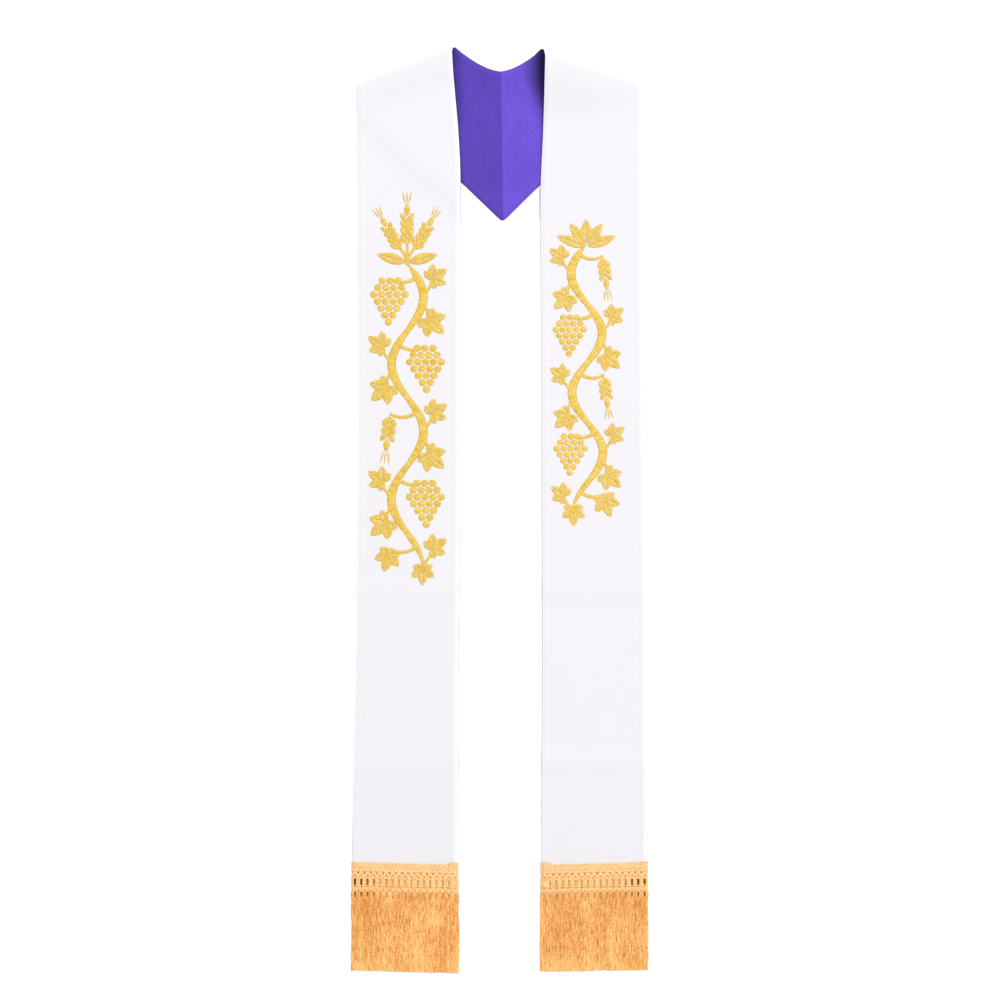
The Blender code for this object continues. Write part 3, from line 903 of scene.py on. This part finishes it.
def fill_bend(needle, vine, index, fruit):
    """What grows at one bend of a vine: a fruit inside it, and leaves on its outer side."""
    way = vine.side * (1 if index % 2 == 0 else -1)
    height = vine.top - vine.wave * (0.25 + 0.5 * index)

    def stem(above):
        turn = math.tau * above / vine.wave
        return Vector((vine.centre + way * vine.sway * math.cos(turn), height + above))

    fruit_top = Vector((vine.centre - way * (vine.sway + 2), height + 22))
    needle.arc(stem(26) + Vector((-way * 3, 0)), fruit_top + Vector((0, 3)), way * 0.16, 5.4, taper=0.7)
    if fruit == "grapes":
        needle.grapes(fruit_top, way * -0.04, CLUSTER, radius=vine.wave * 0.0285)
    elif fruit == "wheat":
        needle.wheat_ear(fruit_top, math.pi + way * 0.12, pairs=3, size=vine.wave * 0.096)
    else:
        needle.vine_leaf(fruit_top + Vector((0, -4)), math.pi + way * 0.3, size=28)
    last = index == len(vine.fruits) - 1
    upper = stem(vine.wave * 0.09) + Vector((way * 15, 8))
    needle.arc(stem(4), upper, way * -0.14, 4.2, taper=0.8)
    needle.vine_leaf(upper, way * 1.0, size=vine.wave * 0.142)
    if not last:
        lower = stem(-24) + Vector((way * 13, -7))
        needle.arc(stem(-10), lower, way * 0.14, 4.6, taper=0.8)
        needle.vine_leaf(lower, math.pi - way * 0.85, size=vine.wave * 0.168)


def sheaf(needle, vine):
    """Three ears of wheat over the vine, with a blade at each side."""
    foot = Vector((vine.centre, vine.top - 2))
    for lean, top, size in ((0.0, 27, 17.0), (0.47, 23, 15.5), (-0.47, 23, 15.5)):
        base = foot + heading(lean) * top
        needle.arc(foot, base + heading(lean) * 6, lean * 0.2, 4.4, taper=0.8)
        needle.wheat_ear(base, lean * 1.1, pairs=4, size=size)
    for way in (-1, 1):
        needle.lens(foot + Vector((way * 2, 3)), way * 1.3, 42, 15, slant=0.6)


def blades(needle, vine):
    """Five pointed blades over the vine."""
    foot = Vector((vine.centre, vine.top - 1))
    needle.lens(foot + Vector((0, 2)), 0.0, 34, 15, slant=0.6)
    for way in (-1, 1):
        needle.lens(foot + Vector((way * 2, 1)), way * 0.62, 36, 14, slant=0.6)
        needle.lens(foot + Vector((way * 2, -2)), way * 1.22, 42, 14, slant=0.6)


def end_leaf(needle, vine):
    """The leaf at the vine's lower end."""
    turn = math.tau * (vine.top - vine.bottom) / vine.wave
    end = Vector((vine.centre + vine.side * vine.sway * math.sin(turn), vine.bottom))
    needle.vine_leaf(end + Vector((0, -3)), math.pi, size=25)


class STOLE_OT_embroidery(bpy.types.Operator):
    """Embroider both fronts with vines and wheat in gold satin stitch"""

    bl_idname = "stole.embroidery"
    bl_label = "Embroidery"

    def execute(self, context):
        random.seed(11)
        for half, crown, lighter in zip(HALVES, (sheaf, blades), (0.0, 0.05)):
            gold = embroidery_material(f"gold_satin_stitch_{half.name}", lighter)
            vine = VINES[half.name]
            needle = Needle(Strip(half))
            needle.vine(vine)
            for index, fruit in enumerate(vine.fruits):
                fill_bend(needle, vine, index, fruit)
            crown(needle, vine)
            end_leaf(needle, vine)
            name = f"embroidery_{half.name}"
            finish_piece(name, needle.bm, [gold], crease_angle=70)
        return {"FINISHED"}


# A cord's or thread's twist, one turn in this length, and the pitch of its plies as they lie on it
TWIST = 5.5 * MM
PLY_PITCH = 1.1 * MM

# The dark strips behind the cords, which paint the shade and deeper cords seen between them, and how much
# of the hem stays free at each of its ends
SHADE_BACKING_THICKNESS = 0.3 * MM
HEM_MARGIN = 0.004


class Cording:
    """Lays round cords in one mesh, each a tube along its points."""

    def __init__(self):
        self.bm = bmesh.new()
        self.thread = self.bm.verts.layers.float_vector.new("thread")

    def add(
        self, points, half_width, half_height, sides=6, shade=0.5, ply=0.0, ply_pitch=TWIST, material=0
    ):
        """A closed tube. ply makes it two-lobed, and the lobes turn once in each ply_pitch."""
        ends = [points[0], *points, points[-1]]
        last = len(ends) - 1
        grid = add_grid(self.bm, sides, last)
        start, distance, distances = random.uniform(0, 1), 0.0, [0.0]
        for here, there in zip(ends, ends[1:]):
            distance += (there - here).length
            distances.append(distance)
        frames = []
        for row in range(last + 1):
            run = ends[min(row + 1, last)] - ends[max(row - 1, 0)]
            side = run.cross(Vector((0, 0, 1))).normalized()
            frames.append((side, side.cross(run).normalized()))
        for vertex, column, row in grid:
            angle = math.tau * (column % sides) / sides
            lobes = 1 + ply * math.cos(2 * (angle - math.pi * (start + distances[row] / ply_pitch)))
            size = 0.0 if row in (0, last) else lobes
            side, up = frames[row]
            offset = side * math.cos(angle) * half_width + up * math.sin(angle) * half_height
            vertex.co = ends[row] + offset * size
            vertex[self.thread] = (start + distances[row], shade, distances[row])
        for face in faces_of(grid):
            face.material_index = material

    def shade_backing(self, hem, low, high, z, shade):
        """A thin closed strip behind cords, between two heights, dark to paint the shade between them.
        Without a shade it takes the painted shadow tone of the gaps.
        """
        columns = BRAID_BARS * 6
        grid = add_grid(self.bm, columns, 1)
        for vertex, column, row in grid:
            share = HEM_MARGIN + column / columns * (1 - 2 * HEM_MARGIN)
            vertex[self.thread] = (share * hem.width, shade or gap_shadow_tone(share), 0)
            vertex.co = hem.point(share, (low, high)[row], z)
        bmesh.ops.solidify(self.bm, geom=list(faces_of(grid)), thickness=SHADE_BACKING_THICKNESS)
        for face in faces_of(grid):
            face.material_index = 1

    def close(self):
        """Joins each tube's long edges and draws its ends to a point."""
        bmesh.ops.remove_doubles(self.bm, verts=self.bm.verts, dist=1e-7)
        bmesh.ops.recalc_face_normals(self.bm, faces=self.bm.faces)
        return self.bm


# How the rows stray from straight, in millimetres: how far up each fringe is cut at its inner and outer end,
# how far the braid's rows climb from end to end and where they cross the straight, how far the braid's top
# bows up at its outer end, and how far everything wavers
TIP_STRAYS = {"left": (-1.0, 2.4), "right": (0.9, 3.2)}
ROW_CLIMB, ROW_LEVEL_AT = 3.2, 0.62
TOP_BOW = 1.3
WAVER = 0.4

# At the hem's ends everything dips, over this run, to this share of its height, but not below this height
END_RUN = 5 * MM
END_SHARE = 0.35
END_HEIGHT = 0.9 * MM


class Hem:
    """Places on the braid and fringe of one half. share runs from the hem's inner to its outer edge."""

    def __init__(self, half):
        self.half = half
        self.inner, self.outer = edge_x(half, "inner", HEM), edge_x(half, "outer", HEM)
        self.width = self.outer - self.inner
        self.pitch = self.width / BRAID_BARS
        self.cord = bpy.context.scene.stole_braid.cord

    def stray(self, share, height):
        """How far the rows lie off straight: they hang a little lower towards the inner end."""
        wave = noise.noise(Vector((share * 7, 1.7 * self.half.sign, 0)))
        inner, outer = TIP_STRAYS[self.half.name]
        tips, rows = inner + (outer - inner) * share, ROW_CLIMB * (share - ROW_LEVEL_AT)
        up = min(max(height / BRAID_BOTTOM, 0), 1)
        top = smooth((height - BRAID_BOTTOM - 20 * MM) / (20 * MM)) * smooth((share - 0.7) / 0.3)
        return (tips + (rows - tips) * up + TOP_BOW * top + WAVER * wave) * MM

    def point(self, share, height, z):
        """A place in the scene. Everything dips towards the hem's two ends, round the cloth's edge."""
        x = self.inner + self.width * share
        end = smooth(edge_distance(share, self.width) / END_RUN)
        z = max(z * (END_SHARE + (1 - END_SHARE) * end), min(z, END_HEIGHT))
        return Vector((self.half.sign * x, TIPS_Y + height + self.stray(share, height), z))

    def bar(self, number, offset=0.0):
        """The place across the hem of a bar, counted from the inner edge, moved by an offset in metres."""
        return min(max((number + offset / self.pitch) / BRAID_BARS, 0.003), 0.997)


# Rows of the braid: heights above its lower edge, in millimetres
CROSSED_ROW = (0.4, 7.8)
OPEN_ROW = (8.9, 17.5)
CHEVRON_ROW = (19.8, 28.4)
GIMP_ROW = (28.4, 39.4)
GIMP_SHADES = (0.9, 0.95, 0.55, 0.85, 0.95, 0.8, 0.9, 0.58)

# Single cords along the braid, between its rows: height, width and shade
CordRow = namedtuple("CordRow", "height width shade")
CORD_ROWS = (
    CordRow(0.3, 1.4, 0.35),
    CordRow(OPEN_ROW[0] - 0.6, 1.5, 0.5),
    CordRow(OPEN_ROW[1] + 0.7, 1.6, 0.55),
    CordRow(OPEN_ROW[1] + 2.1, 1.5, 0.65),
    CordRow(28.2, 1.3, 0.7),
)

# Strips behind the cords, dark to paint the shade and deeper cords seen between them: the heights between
# which each lies, how far it lies over the braid's underside, and its tone. The lowest one shows through the
# open row, and has the gaps' painted shadow tones.
ShadeBacking = namedtuple("ShadeBacking", "low high rise tone")
SHADE_BACKINGS = (
    ShadeBacking(0.2, OPEN_ROW[0], 0.5, 0.85),
    ShadeBacking(OPEN_ROW[1], 39.3, 0.6, 1.0),
    ShadeBacking(-6.8, OPEN_ROW[1] + 1, 0.1, None),
)

# How far the middle of a cord lies over the braid's underside
CORD_RISE = 0.9 * MM

# Points along a cord for each bar, and how far along its pitch a slot of the open row lies, half a pitch from
# the bars. The end that is turned in takes this share of the hem, and the chevrons' painted gap shadows start
# after this bar.
CORD_SAMPLES = 8
SLOT_PLACE = 0.47
END_FOLD = 0.085
LAST_CLOSED_BAR = 1


def row_of_samples(end=1.0):
    count = math.ceil(BRAID_BARS * CORD_SAMPLES * end)
    return [end * i / count for i in range(count + 1)]


def straight_cord(cording, hem, height, z, width, shade, beat=0.0, phase=0.0, end=1.0, ply=0.14):
    """A cord along the hem. beat swells and sinks it along its length, as a woven one does."""
    points = [
        hem.point(share, height, z + beat * math.cos(math.tau * BRAID_BARS * 2 * share + phase))
        for share in row_of_samples(end)
    ]
    cording.add(points, width / 2, hem.cord * 0.4, shade=shade, ply=ply)


def zigzag_cord(cording, hem, low, high, z, turn_at, shade):
    """A cord that goes to and fro between two heights, once for each bar, lowest at the place turn_at."""
    points = []
    for share in row_of_samples():
        turn = math.tau * (BRAID_BARS * share - turn_at)
        swing = -math.asin(0.97 * math.cos(turn)) / math.asin(0.97)
        height = (low + high) / 2 + (high - low) / 2 * swing
        points.append(hem.point(share, height, z + 0.3 * MM * math.sin(turn)))
    cording.add(points, hem.cord * 0.5, hem.cord * 0.34, sides=5, shade=shade, ply=0.12)


def gimp(cording, hem, z, end=1.0, up=0.0):
    """The close band along the braid's upper edge, cord beside cord, beaten up in short blocks."""
    step = (GIMP_ROW[1] - GIMP_ROW[0]) / len(GIMP_SHADES)
    for number, shade in enumerate(GIMP_SHADES):
        at = BRAID_BOTTOM + (GIMP_ROW[0] + step * (number + 0.5) + up) * MM
        phase = math.pi * (number % 2)
        straight_cord(cording, hem, at, z, step * MM * 1.1, shade, beat=0.22 * MM, phase=phase, end=end)


def zigzag_band(cording, hem, row, z, turn_at, cords, lightest=0.95):
    """Cords that run side by side to and fro between the bars."""
    low, high = BRAID_BOTTOM + row[0] * MM, BRAID_BOTTOM + row[1] * MM
    reach = 0.9 * MM * cords
    for number in range(cords):
        shift = (number - (cords - 1) / 2) * 1.8 * MM
        shade = lightest - random.uniform(0, 0.25)
        zigzag_cord(cording, hem, low + shift + reach, high + shift - reach, z, turn_at, shade)


def bar(cording, hem, number, z):
    """One upright of the open row, three cords side by side, drawn in a little at its waist."""
    cord = hem.pitch * (0.75 - 0.11 * number / BRAID_BARS) / 3
    low, high = BRAID_BOTTOM + (OPEN_ROW[0] - 0.9) * MM, BRAID_BOTTOM + (OPEN_ROW[1] + 0.9) * MM
    middle = number + SLOT_PLACE - 0.5
    for strand in (-1, 0, 1):
        points = []
        for i in range(9):
            waist = 1 - 0.1 * math.sin(math.pi * i / 8)
            at = hem.bar(middle, strand * cord * waist)
            points.append(hem.point(at, low + (high - low) * i / 8, z))
        cording.add(points, cord * 0.56, hem.cord * 0.38, shade=random.uniform(0.35, 0.8), ply=0.12)


def gap_shadow_lens(cording, hem, share, low, high, half_width, tone):
    """A small deep gap between cords: its shadow painted as a dark lens on the strip behind the cords."""
    points = [hem.point(share, low + (high - low) * i / 4, BRAID_UNDERSIDE + CORD_RISE) for i in range(5)]
    cording.add(points, half_width, 0.4 * MM, shade=tone, material=1)


def gap_shadow_tone(share):
    """The painted shadow seen through the openwork, on the strip behind it, darkest at the outer end."""
    return 0.9 - 0.86 * smooth((share - 0.71) / 0.22)


def make_braid(half):
    """Gimp band, chevrons, twisted cord, open row of bars, and a crossed row, from the top down."""
    hem = Hem(half)
    cording = Cording()
    z = BRAID_UNDERSIDE + CORD_RISE
    gimp(cording, hem, z)
    gimp(cording, hem, z + 0.7 * MM, end=END_FOLD, up=3.0)
    zigzag_band(cording, hem, CHEVRON_ROW, z, SLOT_PLACE - 0.5, cords=2)
    zigzag_band(cording, hem, CROSSED_ROW, z, SLOT_PLACE, cords=3, lightest=0.66)
    for row in CORD_ROWS:
        height = BRAID_BOTTOM + row.height * MM
        straight_cord(cording, hem, height, z + 0.2 * MM, row.width * MM, row.shade, ply=0.24)
    bar(cording, hem, 0.5, z - 0.1 * MM)
    for number in range(BRAID_BARS + 1):
        bar(cording, hem, number, z - 0.1 * MM)
        share = (number + SLOT_PLACE - 0.5) / BRAID_BARS
        # Dark lenses paint the shadow in the chevrons' gaps.
        if LAST_CLOSED_BAR < number < BRAID_BARS:
            low = BRAID_BOTTOM + (CHEVRON_ROW[0] + 3.6 + random.uniform(-0.4, 0.4)) * MM
            gap_shadow_lens(cording, hem, share, low, low + 2.6 * MM, 0.95 * MM, random.uniform(0.45, 0.85))
    # Dark strips behind the cords paint the shade seen between them.
    for strip in SHADE_BACKINGS:
        low, high = BRAID_BOTTOM + strip.low * MM, BRAID_BOTTOM + strip.high * MM
        cording.shade_backing(hem, low, high, BRAID_UNDERSIDE + strip.rise * MM, strip.tone)
    return cording.close()


class STOLE_OT_braid(bpy.types.Operator):
    """Lay the openwork braid over each hem"""

    bl_idname = "stole.braid"
    bl_label = "Braid"

    def execute(self, context):
        random.seed(23)
        settings = context.scene.stole_braid
        cords = thread_material(
            "gold_braid_cord", [settings.dark, settings.light], 0.42, streak=0.36, ply_light_shade=0.16,
            patch=(230, 330, 60),
        )
        # The strips' colours run from the painted shadow of the deepest openings to dark gold.
        shades = [settings.depth, settings.shade_backing, settings.dark]
        shade_backing = thread_material("braid_shade_backing", shades, 0.7, streak=0.08, ply_light_shade=0.05, specular=0.05)
        for half in HALVES:
            name = f"braid_cords_{half.name}"
            finish_piece(name, make_braid(half), [cords, shade_backing], f"braid_{half.name}")
        return {"FINISHED"}


# Fringe: how far below its strip's top a thread starts, how far it stays gathered, and over which runs it
# fans out and comes down from its root's height to its layer
ROOT_DROP = 1.2 * MM
GATHERED = 3 * MM
FAN_RUN = 8 * MM
DROP_RUN = 24 * MM
ROOT_Z = 3.4 * MM
LAYERS = (0.9 * MM, 1.5 * MM, 2.1 * MM)

# The height of its tip, how unevenly the tips are cut, how far the outermost threads flare past the hem, and
# the distance between a thread's points
LOWEST = 0.8 * MM
RAGGED = 0.7 * MM
SIDE_FLARE = 0.8 * MM
THREAD_STEP = 1.85 * MM

# The broad strands beneath: how many below each bar, their height, and half their width and thickness
UNDER_THREADS = 6
UNDER_Z = 0.45 * MM
UNDER_HALF_WIDTH = 1.6 * MM
UNDER_HALF_HEIGHT = 0.28 * MM


def thread_way(hem, number, spread, layer, length, steps, unrest=1.0):
    """Points down one thread, from its bar's knot to its tip. unrest is how much it strays from straight."""
    thickness = bpy.context.scene.stole_fringe.thread
    middle = number + SLOT_PLACE - 0.5
    root = hem.bar(middle, (spread - 0.5) * hem.pitch * 0.5)
    free = min(max((middle + spread - 0.5) / BRAID_BARS, 0.0), 1.0)
    drift = random.gauss(0, 2.2 * MM) * unrest
    waves = (
        (random.uniform(0.5, 1.3) * MM, random.uniform(18, 42) * MM, random.uniform(0, math.tau)),
        (random.uniform(0.25, 0.6) * MM, random.uniform(8.5, 13) * MM, random.uniform(0, math.tau)),
    )
    points = []
    for i in range(steps + 1):
        down = length * i / steps
        loose = smooth((down - GATHERED) / FAN_RUN)
        wave = sum(size * math.sin(math.tau * down / pitch + phase) for size, pitch, phase in waves)
        shared = noise.noise(Vector((free * 9, down * 26, hem.half.sign * 5.0))) * 1.3 * MM
        share = root + (free - root) * loose
        share += (wave * unrest + shared + drift * (down / length) ** 1.5) * loose / hem.width
        flare = SIDE_FLARE * loose / hem.width
        share = min(max(share, HEM_MARGIN - flare), 1 - HEM_MARGIN + flare)
        low = layer + (LOWEST - layer) * smooth((down / length - 0.75) / 0.25)
        z = ROOT_Z + (low - ROOT_Z) * smooth(down / DROP_RUN)
        z += 0.25 * MM * math.sin(math.tau * down / (17 * MM) + waves[0][2]) * loose
        points.append(hem.point(share, ROOT_TOP - ROOT_DROP - down, max(z, thickness * 0.55)))
    return points


def fringe_thread(cording, hem, number, index):
    """One twisted thread."""
    settings = bpy.context.scene.stole_fringe
    layer = LAYERS[(index * 2 + number) % len(LAYERS)] + random.uniform(-0.2, 0.2) * MM
    spread = (index + random.uniform(-0.3, 1.3)) / settings.per_bar
    length = ROOT_TOP - ROOT_DROP - random.uniform(-0.3, 1.0) * RAGGED
    points = thread_way(hem, number, spread, layer, length, math.ceil(length / THREAD_STEP))
    shade = min(max(random.gauss(0.52, 0.09), 0.1), 0.95)
    pitch = TWIST * random.uniform(0.9, 1.25)
    cording.add(
        points, settings.thread / 2, settings.thread * 0.4, sides=5, shade=shade, ply=0.2, ply_pitch=pitch
    )


def under_thread(cording, hem, number, index):
    """One of the broad flat strands beneath, which close the fringe so that nothing shows through it. Their
    darker tone is painted shade beneath the threads above.
    """
    length = ROOT_TOP - 3 * MM - random.uniform(0.3, 1.0) * RAGGED
    spread = (index + 0.5) / UNDER_THREADS
    points = thread_way(hem, number, spread, UNDER_Z, length, steps=22, unrest=0.2)
    # A darker tone, painted shade beneath the upper threads.
    cording.add(points, UNDER_HALF_WIDTH, UNDER_HALF_HEIGHT, sides=4, shade=random.uniform(0.2, 0.4))


def knot(cording, hem, number):
    """The turns of thread that hold the strands together below a bar."""
    for turn in range(4):
        height = ROOT_TOP + (0.5 - 1.3 * turn) * MM
        half_bar = hem.pitch * (0.35 - 0.012 * turn)
        points = []
        for i in range(7):
            aside = i / 3 - 1
            at = hem.bar(number + SLOT_PLACE - 0.5, half_bar * aside)
            points.append(hem.point(at, height, ROOT_Z + (0.5 - abs(aside) ** 3) * MM))
        cording.add(points, 0.8 * MM, 0.6 * MM, shade=random.uniform(0.5, 0.8), ply=0.1)


def make_fringe(half):
    """Every thread, in groups that leave the braid below its bars."""
    settings = bpy.context.scene.stole_fringe
    hem = Hem(half)
    cording = Cording()
    for number in range(BRAID_BARS + 1):
        first = settings.per_bar // 2 if number == 0 else 0
        last = settings.per_bar // 2 if number == BRAID_BARS else settings.per_bar
        for index in range(first, last):
            fringe_thread(cording, hem, number, index)
        for index in range(UNDER_THREADS):
            if 0 <= number + (index + 0.5) / UNDER_THREADS - 0.5 <= BRAID_BARS:
                under_thread(cording, hem, number, index)
        knot(cording, hem, number)
    return cording.close()


class STOLE_OT_fringe(bpy.types.Operator):
    """Hang the fringe below each braid"""

    bl_idname = "stole.fringe"
    bl_label = "Fringe"

    def execute(self, context):
        random.seed(37)
        settings = context.scene.stole_fringe
        colours = [settings.dark, settings.middle, settings.light]
        # The fringe's strokes, flecks and darker roots are painted shade and highlights.
        threads = thread_material(
            "gold_fringe_thread", colours, 0.4, streak=0.26, ply_light_shade=0.11, patch=(430, 75, 60), blotch=0.3,
            stroke=0.5, root_shade=0.15,
        )
        for half in HALVES:
            name = f"fringe_threads_{half.name}"
            finish_piece(name, make_fringe(half), [threads], f"fringe_{half.name}")
        return {"FINISHED"}


class STOLE_OT_declare(bpy.types.Operator):
    """Does nothing"""

    bl_idname = "stole.declare"
    bl_label = "Declare Cloth"

    def execute(self, context):
        return {"FINISHED"}


# Stage, in metres: how far the floor reaches, between which distances from the middle line and which places
# along Y its glow sets in, and the lamp's size and place
FLOOR_REACH = 7.0
GLOW_BESIDE = (0.10, 0.16)
GLOW_ALONG = (-0.45, -0.35)
LAMP_SIZE = 3.8
LAMP_PLACE = Vector((4.0, 5.0, 7.2))

# The picture, in pixels: its side and middle, and where the stole's middle line and tips lie in it. The
# camera's sensor is in millimetres.
PICTURE_SIDE = 1001
PICTURE_MIDDLE = 500
MIDDLE_LINE_AT = 499.5
TIPS_AT = 971.5
SENSOR = 36


class STOLE_OT_stage(bpy.types.Operator):
    """Set out the pale floor, the soft light and the camera over the stole"""

    bl_idname = "stole.stage"
    bl_label = "Stage"

    def execute(self, context):
        settings = context.scene.stole_stage
        self.add_floor(settings)
        self.add_lights(settings)
        self.add_camera(settings)
        context.scene.view_settings.view_transform = "Standard"
        return {"FINISHED"}

    def add_floor(self, settings):
        """A plain floor. It gives off a little light beside the fronts, where their shadow would show."""
        bm = bmesh.new()
        bmesh.ops.create_grid(bm, x_segments=4, y_segments=4, size=FLOOR_REACH)
        shader = Shader("pale_floor", roughness=0.9, specular=0.1)
        place = shader.add("ShaderNodeTexCoord").outputs["Object"]
        shader.colour(shader.ramp(shader.noise(place, 3.0), tint(settings.floor, 0.997), settings.floor))
        parts = shader.parts(place)
        beside = shader.spread(shader.maths("ABSOLUTE", parts["X"], 0), *GLOW_BESIDE)
        above_braid = shader.spread(parts["Y"], *GLOW_ALONG)
        glow = shader.scale_by(shader.scale_by(beside, above_braid), settings.glow)
        shader.fill(shader.surface, {"Emission Color": (1, 1, 1, 1), "Emission Strength": glow})
        floor = add_object("floor", make_mesh("floor", bm, [shader.material]))

    def add_lights(self, settings):
        """Even light from all round, and a broad soft lamp from the upper right."""
        world = bpy.data.worlds.new("studio")
        world.use_nodes = True
        background = world.node_tree.nodes["Background"]
        background.inputs["Color"].default_value = (1, 1, 1, 1)
        background.inputs["Strength"].default_value = settings.sky
        bpy.context.scene.world = world
        key = bpy.data.lights.new("key", "AREA")
        key.energy = settings.key
        key.shape = "DISK"
        key.size = LAMP_SIZE
        lamp = add_object("key", key)
        lamp.location = LAMP_PLACE
        lamp.rotation_euler = LAMP_PLACE.to_track_quat("Z", "Y").to_euler()

    def add_camera(self, settings):
        """Straight above the point that the middle of the picture shows."""
        pixel = settings.millimetres_per_pixel * MM
        data = bpy.data.cameras.new("camera")
        data.lens = settings.lens
        data.sensor_width = SENSOR
        camera = add_object("camera", data)
        camera.location = (
            (PICTURE_MIDDLE - MIDDLE_LINE_AT) * pixel,
            TIPS_Y + (TIPS_AT - PICTURE_MIDDLE) * pixel,
            PICTURE_SIDE * pixel * settings.lens / SENSOR,
        )
        bpy.context.scene.camera = camera


class STOLE_PT_panel(bpy.types.Panel):
    """Lists the stole's pieces and their settings"""

    bl_idname = "STOLE_PT_panel"
    bl_label = "Stole"
    bl_space_type = "VIEW_3D"
    bl_region_type = "UI"
    bl_category = "Stole"

    def draw(self, context):
        for group, operators in OPERATORS.items():
            box = self.layout.box()
            settings = getattr(context.scene, group)
            for name in settings.bl_rna.properties.keys():
                if name not in ("rna_type", "name"):
                    box.prop(settings, name)
            for operator in operators:
                box.operator(operator.bl_idname)


SETTINGS = {
    "stole_cloth": ClothSettings,
    "stole_embroidery": EmbroiderySettings,
    "stole_braid": BraidSettings,
    "stole_fringe": FringeSettings,
    "stole_stage": StageSettings,
}
OPERATORS = {
    "stole_cloth": (STOLE_OT_cloth, STOLE_OT_declare),
    "stole_embroidery": (STOLE_OT_embroidery,),
    "stole_braid": (STOLE_OT_braid,),
    "stole_fringe": (STOLE_OT_fringe,),
    "stole_stage": (STOLE_OT_stage,),
}
CLASSES = (*SETTINGS.values(), *sum(OPERATORS.values(), ()), STOLE_PT_panel)


def register():
    for cls in CLASSES:
        bpy.utils.register_class(cls)
    for name, group in SETTINGS.items():
        setattr(bpy.types.Scene, name, PointerProperty(type=group))


def unregister():
    for name in SETTINGS:
        delattr(bpy.types.Scene, name)
    for cls in reversed(CLASSES):
        bpy.utils.unregister_class(cls)


def main():
    register()
    bpy.ops.stole.stage()
    bpy.ops.stole.cloth()
    bpy.ops.stole.embroidery()
    bpy.ops.stole.braid()
    bpy.ops.stole.fringe()
    bpy.ops.stole.declare()


if __name__ == "__main__":
    main()
